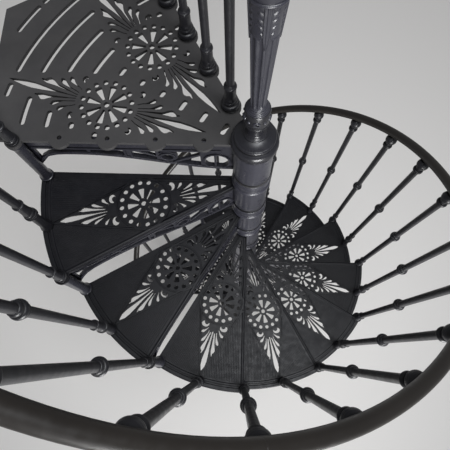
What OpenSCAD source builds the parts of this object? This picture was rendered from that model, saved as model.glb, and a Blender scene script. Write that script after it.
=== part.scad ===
// Cast-iron spiral staircase with pierced treads, pierced risers, a corner landing and a round handrail.
// Millimetres. The origin is on the floor, on the centre line of the column, and +Z is up.
// The front edge of the landing lies along +X, and the treads go down counter-clockwise from it.

/* [Stair] */
// Height from one tread to the next
rise = 210; // [190:1:225]
// Angle that one tread takes at the column
tread_angle = 30; // [28:0.5:32]
// Radius of the circle that the balusters stand on
baluster_radius = 560; // [520:5:640]
// Height of the handrail's centre above the front edge of a tread
rail_height = 985; // [900:5:1050]

/* [Column] */
// Outer radius of the column pipe
pipe_radius = 30; // [24:1:34]
// Wall of the column pipe
pipe_wall = 5; // [3:0.5:8]
// Outer radius of the hub of a tread
hub_radius = 48; // [44:1:54]
// Height of the turned rings at the foot of a hub
hub_ring_height = 26; // [20:1:34]
// Radius of the base flange
flange_radius = 150; // [120:5:190]
// Thickness of the base flange
flange_thickness = 16; // [12:1:24]
// Radius of the circle of bolt holes in the base flange
flange_bolt_circle = 115; // [95:1:135]
// Radius of a bolt hole in the base flange
flange_hole_radius = 7; // [5:0.5:9]

/* [Tread] */
// Thickness of the pierced plate of a tread
plate_thickness = 7; // [5:0.5:10]
// Height of the raised lines on the plate
relief = 2.5; // [1.5:0.5:4]
// Distance from the baluster circle to the outside of the rim
rim_overhang = 14; // [10:1:20]
// Width of the moulded rim
rim_width = 28; // [22:1:34]
// Depth of the rim below the top of the tread
rim_depth = 16; // [12:1:24]
// Radius of the roll along the front edge
nosing_radius = 6; // [4:0.5:8]
// Distance that the plate runs on under the tread above
back_overlap = 11; // [6:1:16]
// Radius of the lug at a corner of the tread
lug_radius = 20; // [16:1:24]
// Radius of the lug under the baluster in the middle of the rim
middle_lug_radius = 17; // [14:1:22]

/* [Pierced pattern] */
// Radius of the hole in the middle of a rosette
rosette_hole_radius = 7; // [5:0.5:9]
// Radius at which the petals start
petal_start = 14.5; // [12:0.5:18]
// Radius at which the petals end
petal_end = 44; // [38:0.5:48]
// Width of a petal at its outer end
petal_width = 17; // [12:0.5:20]
// Radius of the ring of round holes
bead_circle = 60; // [56:0.5:64]
// Radius of one round hole in the ring
bead_radius = 6.3; // [4:0.1:7]
// Least metal between a pierced tip and the rim or the hub
pattern_margin = 18; // [12:1:26]

/* [Riser] */
// Thickness of the pierced web under the front edge
web_thickness = 7; // [5:0.5:9]
// Thickness of the rails and scrolls on the web
web_rail_thickness = 13; // [10:0.5:16]
// Width of the rails on the web as seen from the front
web_rail_width = 10; // [7:0.5:13]
// Depth of the upper edge of the openings below the tread
web_opening_top = 62; // [54:1:72]
// Depth of the web at the hub
web_hub_depth = 163; // [150:1:175]
// Depth of the web where it is shallowest
web_throat_depth = 90; // [82:1:100]
// Depth of the web at the corner sleeve
web_end_depth = 138; // [120:1:150]
// Distance of the shallowest place from the baluster circle
web_throat_setback = 130; // [110:1:150]
// Radius of the corner sleeve at its ends
sleeve_foot_radius = 19; // [16:0.5:22]
// Radius of the corner sleeve between its ends
sleeve_radius = 15; // [12:0.5:17]

/* [Balusters] */
// Radius of the shaft of a stair baluster
shaft_radius = 10.5; // [8:0.5:13]
// Height of the middle of the knop above the foot
knop_height = 498; // [450:2:540]
// Radius of the knop
knop_radius = 19; // [15:0.5:23]
// Radius of the ball under the handrail
ball_radius = 20; // [16:0.5:23]
// Radius of the ring below that ball
neck_ring_radius = 17; // [14:0.5:20]
// Radius of the foot of a stair baluster
foot_radius = 16; // [13:0.5:19]
// Radius of the shaft of a landing baluster
landing_shaft_radius = 9.5; // [7:0.5:12]
// Radius of the foot of a landing baluster
landing_foot_radius = 22; // [19:0.5:24]
// Height of the vase at the foot of a landing baluster
landing_vase_height = 90; // [80:2:110]

/* [Landing] */
// Distance from one landing baluster to the next
landing_pitch = 112; // [104:1:118]
// Distance of the first landing baluster from the centre line of the column
landing_first = 116; // [108:1:124]
// Distance of the bolt holes from the edge line
landing_inset = 10; // [6:1:14]
// Length of each straight edge, from the centre line of the column
landing_edge = 633; // [610:1:680]
// Radius of a round lug on an edge of the landing
landing_lug_radius = 26; // [22:1:30]
// Radius of the bolt holes in the front lugs
landing_hole_radius = 5.5; // [4:0.5:7]
// Width of the curved slots in the landing
slot_width = 13; // [10:0.5:15]

/* [Handrail] */
// Radius of the handrail
rail_radius = 14.5; // [12:0.5:18]
// Distance that the handrail's centre line lies outside the baluster circle
rail_offset = 17; // [0:1:22]
// Height of the newel above the landing, to the middle of its ball
newel_height = 1075; // [1020:5:1150]
// Radius of the ball on the newel
newel_ball_radius = 36; // [28:1:42]

/* [Hidden] */
tread_count = 12;
landing_treads = 2;
landing_angle = landing_treads * tread_angle;
landing_top = (tread_count + 1) * rise;
fit_gap = 0.3;
bore_radius = pipe_radius + fit_gap;
plate_top = -relief;
plate_bottom = -relief - plate_thickness;
half_angle = tread_angle / 2;
rim_radius = baluster_radius + rim_overhang;
rim_inner = rim_radius - rim_width;
arc_steps = 8;

// Pattern of a tread, turned a little away from the nosing
pattern_turn = -0.6;
rosette_x = (hub_radius + rim_inner) / 2;
fan_reach = rosette_x - hub_radius - pattern_margin;
petal_count = 8;
bead_count = 16;
ring_line = bead_circle + bead_radius + 4;

// Leaves of a tread's fan: start along, start across, end along, end across, width
tread_fin = [104, 7, 178, 18, 13];
tread_clubs = [[100, 13, 140, 29, 9], [90, 18, 110, 38, 9]];
// Leaves of a landing's fan, in the same order
landing_fin = [95, 9, 176, 22, 17];
landing_clubs = [[94, 17, 130, 36, 11], [82, 27, 110, 46, 11]];
// Thin grooves that carry the stems of a landing's fan on to the ring: start along, start across, end along, end across
landing_grooves = [[76, 5, 97, 9.4], [75, 12, 96, 18], [71, 21, 84, 28.4]];
groove_width = 1.6;
groove_gap = 6;

// Web of a riser
throat_x = baluster_radius - web_throat_setback;
sleeve_x = baluster_radius - sleeve_radius;

// Handrail: slope along the baluster circle, and what stands under it
rail_circle = baluster_radius + rail_offset;
rail_slope = atan(rise / (PI * rail_circle * tread_angle / 180));
ball_drop = (rail_radius + ball_radius + fit_gap) / cos(rail_slope);
baluster_height = rail_height - ball_drop;
baluster_lean = atan(rail_offset / baluster_height);
foot_lift = foot_radius * sin(baluster_lean);
landing_baluster_height = rail_height - rail_radius - ball_radius - fit_gap;
rail_sides = 16;
rail_step_angle = tread_angle / 6;
rail_segments = 4;
rail_overrun = 4;
treads_per_group = 2;
baluster_groups = tread_count / treads_per_group;

function step_name(base, k) = str(base, k < 10 ? "_0" : "_", k);

// Places
function tread_top(k) = landing_top - k * rise;
function tread_middle(k) = (k - 0.5) * tread_angle;
function on_circle(radius, angle) = [radius * cos(angle), radius * sin(angle)];
function rail_z(angle) = landing_top + rail_height - rise * angle / tread_angle;

// Points of a half-round moulding that bulges from radius r to radius r + bulge, going up
function bulge_points(r, bulge, z_from, z_to) =
    [for (i = [0 : arc_steps])
        [r + bulge * sin(180 * i / arc_steps), z_from + (z_to - z_from) * (1 - cos(180 * i / arc_steps)) / 2]];

// Points of a smooth change of radius, going up
function ogee_points(r_from, r_to, z_from, z_to) =
    [for (i = [0 : arc_steps])
        [r_from + (r_to - r_from) * (1 - cos(180 * i / arc_steps)) / 2, z_from + (z_to - z_from) * i / arc_steps]];

// Points of the upper end of a baluster: a ring, a neck and a ball
neck_ring_drop = 40;
neck_ring_height = 14;
function neck_points(shaft, height) =
    let (ring_low = height - neck_ring_drop - neck_ring_height / 2)
    concat(
        [[shaft, ring_low - 1]],
        bulge_points(shaft, neck_ring_radius - shaft, ring_low, ring_low + neck_ring_height),
        [[shaft, ring_low + neck_ring_height + 1]],
        ball_points(ball_radius, height)
    );

// Points of the knop: a large lobe between two smaller ones
knop_lobe = 15;
function knop_points(shaft) =
    let (small = knop_radius - shaft - 4, inner = knop_lobe / 2, outer = 1.5 * knop_lobe)
    concat(
        [[shaft, knop_height - outer - 1]],
        bulge_points(shaft, small, knop_height - outer, knop_height - inner - 1),
        bulge_points(shaft + 3, small + 1, knop_height - inner, knop_height + inner),
        bulge_points(shaft, small, knop_height + inner + 1, knop_height + outer),
        [[shaft, knop_height + outer + 1]]
    );

// Points of a ball on a neck of half its width, up to its top
function ball_points(radius, z) = [for (i = [2 : 12]) [radius * sin(15 * i), z - radius * cos(15 * i)]];

// Outline of a curved slot with round ends, round the origin
function arc_slot_points(radius, angle_from, angle_to, width) =
    concat(
        [for (i = [0 : arc_steps]) on_circle(radius + width / 2, angle_from + (angle_to - angle_from) * i / arc_steps)],
        [for (i = [1 : arc_steps - 1])
            on_circle(radius, angle_to) + width / 2 * on_circle(1, angle_to + 180 * i / arc_steps)],
        [for (i = [0 : arc_steps]) on_circle(radius - width / 2, angle_to - (angle_to - angle_from) * i / arc_steps)],
        [for (i = [1 : arc_steps - 1])
            on_circle(radius, angle_from) + width / 2 * on_circle(1, angle_from + 180 + 180 * i / arc_steps)]
    );

// Half width of a leaf along its length, as a share: a thin stem that swells and then comes to a point
tread_stem = 0.22;
landing_stem = 0.12;
club_peak = 0.84;
drop_peak = 0.8;
spear_peak = 0.6;
function leaf_half(t, peak, stem) =
    t < peak ? stem + (1 - stem) * pow(sin(90 * t / peak), 3) : cos(90 * (t - peak) / (1 - peak));

// Outline of a bent leaf from point a to point b, with its stations closer together towards the end
leaf_stations = 7;
function leaf_station(i) = 1 - pow(1 - i / leaf_stations, 1.6);
function leaf_side(a, b, width, bend, side, peak, stem) =
    let (along = b - a, across = [-along[1], along[0]] / norm(along))
    [for (i = [0 : leaf_stations])
        let (t = leaf_station(i))
        a + t * along + (bend * 4 * t * (1 - t) + side * width / 2 * leaf_half(t, peak, stem)) * across];
function leaf_points(a, b, width, bend, peak, stem) =
    let (left = leaf_side(a, b, width, bend, 1, peak, stem), right = leaf_side(a, b, width, bend, -1, peak, stem))
    concat(right, [for (i = [leaf_stations - 1 : -1 : 0]) left[i]]);

// One petal of a rosette
module petal(start, end, width) {
    inner_half = width * 0.15;
    round_off = width * 0.1;
    polygon([
        [start, -inner_half], [end - round_off, -width / 2], [end, -width / 4],
        [end, width / 4], [end - round_off, width / 2], [start, inner_half]
    ]);
}

// Pierced rosette: a hole, petals and a ring of round holes
module rosette(petal_tip) {
    circle(r = rosette_hole_radius, $fn = 32);
    for (i = [0 : petal_count - 1]) rotate(i * 360 / petal_count) petal(petal_start, petal_tip, petal_width);
    for (i = [0 : bead_count - 1]) rotate(i * 360 / bead_count) translate([bead_circle, 0]) circle(r = bead_radius, $fn = 24);
}

// Crescent that closes the end of a fan: open towards the ring, thick at its outer end and pointed at the other
crescent_width = 20;
crescent_height = 26;
module crescent(share) {
    difference() {
        oval(crescent_width * share, crescent_height * share);
        translate([-0.36 * crescent_width * share, -0.12 * crescent_height * share])
            oval(0.85 * crescent_width * share, 0.6 * crescent_height * share);
    }
}

// Fin of a fan, as shares of its length and width: thin stem, round shoulder on the outer side, sharp tip
function fin_shape(stem) = [
    [0, -0.6 * stem], [0.5, -0.9 * stem], [0.8, -0.28], [1, -0.07], [1, 0.07], [0.89, 0.14],
    [0.84, 0.5], [0.77, 0.7], [0.69, 0.66], [0.48, 1.7 * stem], [0, 0.6 * stem]
];
module fin(ray, side, stem) {
    start = [ray[0], side * ray[1]];
    along = [ray[2], side * ray[3]] - start;
    across = side * [-along[1], along[0]] / norm(along);
    polygon([for (p = fin_shape(stem)) start + p[0] * along + p[1] * ray[4] * across]);
}

// Leaves of a fan on both sides of its middle line
leaf_bend = 2.5;
module fan_leaves(fin_ray, clubs, stem) {
    for (side = [-1, 1]) {
        fin(fin_ray, side, stem);
        for (ray = clubs) let (start = [ray[0], side * ray[1]], end = [ray[2], side * ray[3]])
            polygon(leaf_points(start, end, ray[4], -side * leaf_bend, club_peak, stem));
    }
}

// Everything that is pierced through a tread, with the rosette at the origin
drop_width = 17;
drop_gap = 29;
crescent_along = 81;
crescent_across = 32;
module tread_piercing() {
    rosette(petal_end);
    for (turn = [0, 180]) rotate(turn) {
        polygon(leaf_points([ring_line + drop_gap, 0], [fan_reach, 0], drop_width, 0, drop_peak, tread_stem));
        fan_leaves(tread_fin, tread_clubs, tread_stem);
        for (side = [0, 1]) mirror([0, side]) translate([crescent_along, crescent_across]) crescent(1);
    }
}

// Raised strip between two points
module strip(a, b, width) {
    along = b - a;
    translate(a) rotate(atan2(along[1], along[0])) translate([0, -width / 2]) square([norm(along), width]);
}

// Outline of the plate of a tread, middle line along +X
module tread_outline() {
    front = half_angle;
    back_corner = on_circle(rim_radius, -half_angle);
    back_shift = back_overlap * [sin(-half_angle), -cos(half_angle)];
    difference() {
        union() {
            intersection() {
                circle(r = rim_radius - 2, $fn = 180);
                polygon([[0, 0], 1.2 * on_circle(rim_radius, front), [1.3 * rim_radius, 0],
                    1.2 * back_corner + back_shift, back_shift]);
            }
            for (side = [-1, 1]) translate(on_circle(baluster_radius, side * half_angle)) circle(r = lug_radius, $fn = 48);
            translate([baluster_radius, 0]) circle(r = middle_lug_radius, $fn = 48);
        }
        circle(r = hub_radius - 2, $fn = 96);
    }
}

// Raised lines on a tread: the double lines of the kite, and the line round the ring
ridge_width = 3;
ridge_spacing = 7;
module tread_relief() {
    kite_tip = [rim_inner + 3, 0];
    rotate(pattern_turn) {
        for (side = [-1, 1], step = [0, 1]) {
            waist = [rosette_x + 4, side * (ring_line - 1 + step * ridge_spacing)];
            strip(kite_tip, waist, ridge_width);
            strip(waist, [hub_radius - 1, side * (6 + step * ridge_spacing)], ridge_width);
        }
        translate([rosette_x, 0]) difference() {
            circle(r = ring_line + ridge_width, $fn = 64);
            circle(r = ring_line, $fn = 64);
        }
    }
    for (angle = [-half_angle, 0, half_angle])
        translate(on_circle(baluster_radius, angle)) circle(r = middle_lug_radius, $fn = 48);
}

// Moulded rim: two beads with a groove between them, and a skirt below that stops short of the corner sleeves
module rim() {
    groove = plate_top - 1;
    skirt_stop = asin((sleeve_foot_radius + 1) / baluster_radius);
    rotate([0, 0, -half_angle]) rotate_extrude(angle = tread_angle, $fn = 180) polygon([
        [rim_inner, plate_bottom + 1], [rim_inner, plate_top], [rim_inner + 2, 0], [rim_inner + 7, 0],
        [rim_inner + 9, groove], [rim_inner + 13, groove], [rim_inner + 15, 0],
        [rim_radius - 4, 0], [rim_radius - 1, -2], [rim_radius, -5], [rim_radius - 1, -8],
        [rim_radius - 3, plate_bottom], [rim_radius - 11, plate_bottom]
    ]);
    rotate([0, 0, -half_angle + skirt_stop]) rotate_extrude(angle = tread_angle - 2 * skirt_stop, $fn = 180) polygon([
        [rim_radius - 9, -rim_depth], [rim_radius - 4, -rim_depth],
        [rim_radius - 4, plate_bottom + 1], [rim_radius - 9, plate_bottom + 1]
    ]);
}

// Hub: a tall socket round the column pipe, with turned rings at its foot
module hub(length) {
    neck = hub_radius - 6;
    translate([0, 0, -length]) rotate_extrude($fn = 96) polygon(concat(
        [[bore_radius, 0]],
        bulge_points(neck, 3, 0, hub_ring_height * 0.36),
        bulge_points(neck, 1.5, hub_ring_height * 0.42, hub_ring_height * 0.62),
        ogee_points(neck, hub_radius, hub_ring_height * 0.68, hub_ring_height),
        [[hub_radius, length], [bore_radius, length]]
    ));
}

// Tread with its hub, in place
module tread(k) {
    hub_length = k == tread_count ? rise - flange_thickness : rise;
    color("#26272c") translate([0, 0, tread_top(k)]) rotate(tread_middle(k)) {
        hub(hub_length);
        difference() {
            union() {
                translate([0, 0, plate_bottom]) linear_extrude(plate_thickness) tread_outline();
                translate([0, 0, plate_top - 1]) linear_extrude(relief + 1) tread_relief();
                rim();
                nosing();
            }
            rotate(pattern_turn) translate([rosette_x, 0, -rim_depth]) linear_extrude(rim_depth + 1) tread_piercing();
        }
    }
}

// Round front edge of a tread, a little lower than the raised lines
nosing_drop = 0.5;
module nosing() {
    rotate(half_angle) translate([hub_radius - 4, -nosing_radius, -nosing_radius - nosing_drop])
        rotate([0, 90, 0]) cylinder(r = nosing_radius, h = baluster_radius - hub_radius - lug_radius + 8, $fn = 32);
}

// Depth of the lower edge of the web at radius x
function web_depth(x) =
    x < hub_radius ? web_hub_depth :
    x < throat_x
        ? web_throat_depth + (web_hub_depth - web_throat_depth)
            * (1 - cos(180 * (throat_x - x) / (throat_x - hub_radius))) / 2
        : web_throat_depth + (web_end_depth - web_throat_depth) * pow((x - throat_x) / (sleeve_x - throat_x), 4);

// Part of the web between two radii, from a depth down to a distance above its lower edge
web_steps = 12;
module web_bay(x_from, x_to, depth, above_edge) {
    polygon(concat(
        [[x_to, -depth], [x_from, -depth]],
        [for (i = [0 : web_steps])
            let (x = x_from + (x_to - x_from) * i / web_steps)
            [x, -max(depth + 1, web_depth(x) - above_edge)]]
    ));
}

// Strip of a given width along the lower edge of the web
edge_steps = 24;
module web_edge(x_from, x_to, width) {
    stations = [for (i = [0 : edge_steps]) x_from + (x_to - x_from) * i / edge_steps];
    polygon(concat(
        [for (x = stations) [x, -web_depth(x)]],
        [for (i = [edge_steps : -1 : 0]) [stations[i], width - web_depth(stations[i])]]
    ));
}

// Oval outline
oval_sides = 16;
module oval(width, height) {
    polygon([for (i = [0 : oval_sides - 1])
        let (turn = 360 * i / oval_sides)
        [width / 2 * cos(turn), height / 2 * sin(turn)]]);
}

// Openings of the web, drawn from the front with radius along x and depth along -y
loop_width = 62;
loop_height = 76;
loop_x = hub_radius + 42;
loop_depth = 119;
scroll_radius = 20;
scroll_x = 213;
scroll_depth = 97;
post_x = 309;
module web_openings() {
    rail = web_rail_width;
    end_x = sleeve_x - 4;
    mullion_x = throat_x - 24;
    web_bay(mullion_x + 4, end_x, web_opening_top, rail);
    web_bay(post_x + 11, mullion_x - 4, web_opening_top, rail);
    difference() {
        web_bay(scroll_x + scroll_radius + 8, post_x - 11, web_opening_top + 8, rail);
        strip([scroll_x + scroll_radius, -scroll_depth - 6], [post_x - 8, -web_opening_top], 6);
    }
    difference() {
        web_bay(loop_x + loop_width / 2 + 10, scroll_x + scroll_radius, web_opening_top + 8, rail);
        translate([scroll_x, -scroll_depth]) circle(r = scroll_radius + 6, $fn = 40);
        strip([loop_x + 20, -web_opening_top - 12], [scroll_x - 14, -scroll_depth - 34], 8);
    }
    translate([scroll_x, -scroll_depth]) circle(r = scroll_radius - 5, $fn = 40);
    difference() {
        translate([loop_x, -loop_depth]) oval(loop_width, loop_height);
        translate([loop_x + 4, -loop_depth]) square([5, loop_height], center = true);
    }
}

// Rails and scrolls that stand proud of the web
module web_rails() {
    rail = web_rail_width;
    top_end = sleeve_x - 2;
    translate([hub_radius + 30, -web_opening_top]) square([top_end - hub_radius - 30, rail * 0.7]);
    web_edge(0, baluster_radius, rail);
    for (x = [post_x - 9, post_x + 5])
        translate([x, -web_depth(post_x) + 1]) square([4, web_depth(post_x) - web_opening_top]);
    translate([scroll_x, -scroll_depth]) difference() {
        circle(r = scroll_radius + 1, $fn = 40);
        circle(r = scroll_radius - 5, $fn = 40);
    }
    translate([loop_x, -loop_depth]) difference() {
        oval(loop_width + 10, loop_height + 10);
        oval(loop_width, loop_height);
    }
}

// Pierced web, upright under the front edge and set back behind the round nosing
module web() {
    setback = 2 * nosing_radius + web_thickness / 2 + fit_gap;
    difference() {
        translate([0, -setback, 0]) rotate([90, 0, 0]) {
            translate([0, 0, -web_thickness / 2]) linear_extrude(web_thickness) difference() {
                web_bay(0, baluster_radius, -plate_bottom, 0);
                web_openings();
            }
            translate([0, 0, -web_rail_thickness / 2]) linear_extrude(web_rail_thickness) web_rails();
        }
        translate([0, 0, -rise]) cylinder(r = hub_radius + fit_gap, h = rise, $fn = 96);
    }
}

// Corner sleeve between the front corner of a tread and the back corner of the next one
module sleeve() {
    top = plate_bottom;
    bottom = -rise;
    collar = 5;
    flare = 14;
    rotate_extrude($fn = 48) polygon(concat(
        [[0, bottom], [sleeve_foot_radius, bottom], [sleeve_foot_radius, bottom + collar]],
        ogee_points(sleeve_foot_radius - 2, sleeve_radius, bottom + collar + 1, bottom + collar + 1 + flare),
        ogee_points(sleeve_radius, sleeve_foot_radius - 1, top - collar - 1 - flare, top - collar - 1),
        [[sleeve_foot_radius, top - collar], [sleeve_foot_radius, top], [0, top]]
    ));
}

// Riser under the front edge of tread k, or of the landing when k is 0
module riser(k) {
    color("#1e1f24") translate([0, 0, tread_top(k)]) rotate(k * tread_angle) {
        web();
        translate([baluster_radius, 0, 0]) sleeve();
    }
}

// Base flange, bolted to the floor, with a socket for the column pipe
socket_depth = 8;
flange_holes = 6;
module base_flange() {
    chamfer = 4;
    color("#1e1f24") difference() {
        rotate_extrude($fn = 128) polygon([
            [0, 0], [flange_radius, 0], [flange_radius, flange_thickness - chamfer],
            [flange_radius - chamfer, flange_thickness], [0, flange_thickness]
        ]);
        translate([0, 0, flange_thickness - socket_depth]) cylinder(r = bore_radius, h = socket_depth + 1, $fn = 96);
        for (i = [0 : flange_holes - 1]) rotate(i * 360 / flange_holes)
            translate([flange_bolt_circle, 0, -1]) cylinder(r = flange_hole_radius, h = flange_thickness + 2, $fn = 32);
    }
}

// Column pipe from the socket of the flange to the top of the landing's hub
module column_pipe() {
    pipe_foot = flange_thickness - socket_depth;
    color("#3a3a40") translate([0, 0, pipe_foot]) difference() {
        cylinder(r = pipe_radius, h = landing_top - pipe_foot, $fn = 96);
        translate([0, 0, -1]) cylinder(r = pipe_radius - pipe_wall, h = landing_top - pipe_foot + 2, $fn = 96);
    }
}

// Landing: rows of slots across its middle line, from the column out
landing_row_half = [16, 15, 15, 10, 9, 13, 42, 71, 106, 137, 46];
landing_row_start = 80;
landing_row_margin = 49;
landing_row_pitch = (landing_edge - landing_row_margin) / (len(landing_row_half) - 1);
// Short slots beside the motifs: row, angle from the middle line, length
landing_side_slots = [[5, 28, 19], [6, 25.0, 17], [7, 23.8, 44], [8, 22.3, 76], [9, 17.8, 38]];
// The outermost row runs on past a narrow bridge, towards the well only
landing_outer_slot = [10, -7, 50];
landing_middle = landing_angle / 2;
landing_rosette_radius = 364;
landing_petal_end = 50;
landing_crescent_along = 73;
landing_crescent_across = 50;
landing_crescent_share = 0.7;
landing_spear_margin = 38;
landing_spear_end = landing_edge / cos(landing_middle / 2) - landing_rosette_radius - landing_spear_margin;
landing_inner_spear_end = 250;
landing_spear_gap = 28;
landing_inner_spear_gap = 12;
landing_spear_width = 17;

// Slot of a row, which lies along a circle round the column
module round_slot(row, angle, length) {
    radius = landing_row_start + landing_row_pitch * row;
    half = (length - slot_width) / 2 / radius * 180 / PI;
    polygon(arc_slot_points(radius, angle - half, angle + half, slot_width));
}

module landing_motif() {
    rosette(landing_petal_end);
    for (spear = [[0, landing_spear_gap, landing_spear_end], [180, landing_inner_spear_gap, landing_inner_spear_end]])
        rotate(spear[0]) {
            strip([ring_line + groove_gap, 0], [ring_line + spear[1] + 3, 0], groove_width);
            polygon(leaf_points([ring_line + spear[1], 0], [spear[2], 0], landing_spear_width, 0, spear_peak, landing_stem));
        }
    for (turn = [0, 180]) rotate(turn) {
        for (side = [-1, 1], groove = landing_grooves)
            strip([groove[0], side * groove[1]], [groove[2], side * groove[3]], groove_width);
        fan_leaves(landing_fin, landing_clubs, landing_stem);
        for (side = [0, 1]) mirror([0, side]) translate([landing_crescent_along, landing_crescent_across]) crescent(landing_crescent_share);
    }
}

module landing_piercing() {
    for (i = [0 : len(landing_row_half) - 1])
        round_slot(i, 0, 2 * landing_row_half[i]);
    for (slot = landing_side_slots, side = [-1, 1]) round_slot(slot[0], side * slot[1], slot[2]);
    round_slot(landing_outer_slot[0], landing_outer_slot[1], landing_outer_slot[2]);
    for (side = [-1, 1]) rotate(side * landing_middle / 2) translate([landing_rosette_radius, 0]) landing_motif();
}

// Places along an edge of the landing, seen with the edge along +X and the plate below it
landing_lugs = 4;
function landing_place(i) = landing_first + (i - 1) * landing_pitch;
function landing_lug(i) = [landing_place(i), -landing_inset];

// Round lugs on both straight edges of the landing; the back edge runs on like that of a tread
module landing_lug_rounds() {
    for (side = [0, 1]) mirror([0, side]) rotate(landing_middle) translate([0, side * back_overlap]) {
        for (i = [1 : landing_lugs]) translate(landing_lug(i)) circle(r = landing_lug_radius, $fn = 64);
        translate([baluster_radius, -side * landing_inset]) circle(r = lug_radius, $fn = 64);
    }
}

// Corners of the landing's plate
landing_front_end = on_circle(landing_edge, landing_middle);
landing_corner = [landing_edge / cos(landing_middle), 0];
landing_back_foot = on_circle(back_overlap, -landing_middle - 90);
landing_back_end = on_circle(landing_edge, -landing_middle) + landing_back_foot;

module landing_outline() {
    difference() {
        union() {
            polygon([[0, 0], landing_back_foot, landing_back_end, landing_corner, landing_front_end]);
            landing_lug_rounds();
        }
        circle(r = hub_radius - 2, $fn = 96);
    }
}

module landing() {
    color("#3a3a3c") translate([0, 0, landing_top]) rotate(-landing_middle) {
        hub(rise);
        difference() {
            translate([0, 0, plate_bottom]) linear_extrude(-plate_bottom) landing_outline();
            translate([0, 0, plate_bottom - 1]) linear_extrude(rim_depth) rotate(pattern_turn) landing_piercing();
            rotate(landing_middle) for (i = [1 : landing_lugs]) translate(landing_lug(i))
                translate([0, 0, plate_bottom - 1]) cylinder(r = landing_hole_radius, h = rim_depth, $fn = 32);
        }
    }
}

// Stair baluster: turned foot, round shaft, knop with two rings, ball under the handrail
module baluster(height) {
    foot = foot_radius;
    shaft = shaft_radius;
    rotate_extrude($fn = 32) polygon(concat(
        [[0, 0], [foot, 0], [foot, 5]],
        bulge_points(foot - 4, 3, 6, 18),
        ogee_points(foot - 3, shaft + 1, 19, 62),
        bulge_points(shaft, 4, 64, 72),
        [[shaft, 74]],
        knop_points(shaft),
        neck_points(shaft, height)
    ));
}

// Depth that a baluster and its pedestal run into each other, being one casting
pedestal_joint = 1;

// Turned pedestal that lifts the baluster in the middle of a tread by half a rise
module pedestal() {
    top = rise / 2;
    collar = foot_radius + 1.5;
    rotate_extrude($fn = 32) polygon(concat(
        [[0, 0], [foot_radius, 0], [foot_radius, 5]],
        ogee_points(foot_radius - 1, foot_radius - 4, 7, 24),
        ogee_points(foot_radius - 4, foot_radius - 1, top - 24, top - 8),
        [[collar, top - 6], [collar, top], [0, top]]
    ));
}

// Baluster on its lug, leaning out from the foot to the handrail, and sunk into what it is cast with
module leaning_baluster(sink = 0) {
    foot_z = foot_lift - sink;
    translate([baluster_radius, 0, foot_z]) rotate([0, baluster_lean, 0]) baluster(baluster_height - foot_z);
}

// Balusters of the treads of group g: one at each front corner and one in the middle of each rim
module balusters(g) {
    first = (g - 1) * treads_per_group + 1;
    color("#1b1b20") for (k = [first : first + treads_per_group - 1]) translate([0, 0, tread_top(k)]) {
        rotate(k * tread_angle) leaning_baluster();
        rotate(tread_middle(k)) {
            translate([baluster_radius, 0, 0]) pedestal();
            translate([0, 0, rise / 2]) leaning_baluster(pedestal_joint);
        }
    }
}

// Landing baluster: a wider foot and a vase that ends in a collar
module landing_baluster() {
    foot = landing_foot_radius;
    shaft = landing_shaft_radius;
    waist = shaft + 4;
    vase = landing_vase_height;
    height = landing_baluster_height;
    rotate_extrude($fn = 40) polygon(concat(
        [[0, 0], [foot - 1, 0], [foot - 1, 3]],
        bulge_points(foot - 4, 4, 4, 20),
        bulge_points(foot - 7.5, 3.5, 22, 34),
        ogee_points(foot - 6, waist, 35, vase * 0.55),
        ogee_points(waist, foot - 8.5, vase * 0.6, vase - 14),
        bulge_points(foot - 9, 2, vase - 13, vase - 3),
        [[shaft + 1, vase], [shaft, vase + 2]],
        knop_points(shaft),
        neck_points(shaft, height)
    ));
}

// Balusters along the side of the landing over the well, and the one at its front corner
landing_baluster_count = 5;
landing_side_line = landing_inset - back_overlap;
module landing_balusters() {
    color("#1b1b20") translate([0, 0, landing_top]) {
        rotate(-landing_angle) for (i = [1 : landing_baluster_count])
            translate([landing_place(i), landing_side_line, 0]) landing_baluster();
        leaning_baluster();
    }
}

// Newel above the landing, turned, in three castings
newel_base_height = 166;
newel_neck = 21.5;
newel_band = 27;
newel_shaft_foot = 15.5;
newel_shaft_top = 29;
newel_base_radius = 53;
newel_joint = 20;
module newel_base() {
    spigot = pipe_radius - pipe_wall - fit_gap;
    color("#55545d") translate([0, 0, landing_top]) rotate_extrude($fn = 96) polygon(concat(
        [[0, -newel_joint], [spigot, -newel_joint], [spigot, 0]],
        bulge_points(newel_base_radius - 12, 12, 0, 26),
        bulge_points(newel_base_radius - 16, 11, 27, 45),
        ogee_points(newel_base_radius - 14, newel_neck, 46, 66),
        ogee_points(newel_neck, newel_band - 2, 76, 88),
        [[newel_band, 90], [newel_band, 134]],
        bulge_points(newel_band - 3, 5, 136, 150),
        ogee_points(newel_band - 3, newel_shaft_foot, 151, newel_base_height),
        [[0, newel_base_height]]
    ));
}

newel_taper_end = 372;
newel_taper_radius = 23;
newel_bell_end = 451;
newel_cup_height = 560;
newel_shaft_end = 880;
newel_flute_count = 10;
newel_flute_depth = 2.2;
module newel_flutes() {
    flute_foot = newel_base_height + 14;
    flute_length = newel_taper_end - flute_foot - 6;
    foot_radius = newel_shaft_foot * sin(180 / newel_flute_count) * 0.82;
    top_radius = newel_taper_radius * sin(180 / newel_flute_count) * 0.82;
    taper = atan((newel_taper_radius - newel_shaft_foot - top_radius + foot_radius) / flute_length);
    for (i = [0 : newel_flute_count - 1]) rotate(i * 360 / newel_flute_count)
        translate([newel_shaft_foot + foot_radius - newel_flute_depth, 0, flute_foot])
            rotate([0, taper, 0]) cylinder(r1 = foot_radius, r2 = top_radius, h = flute_length, $fn = 24);
}
module newel_shaft() {
    color("#55545d") translate([0, 0, landing_top]) difference() {
        newel_shaft_body();
        newel_flutes();
    }
}
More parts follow.
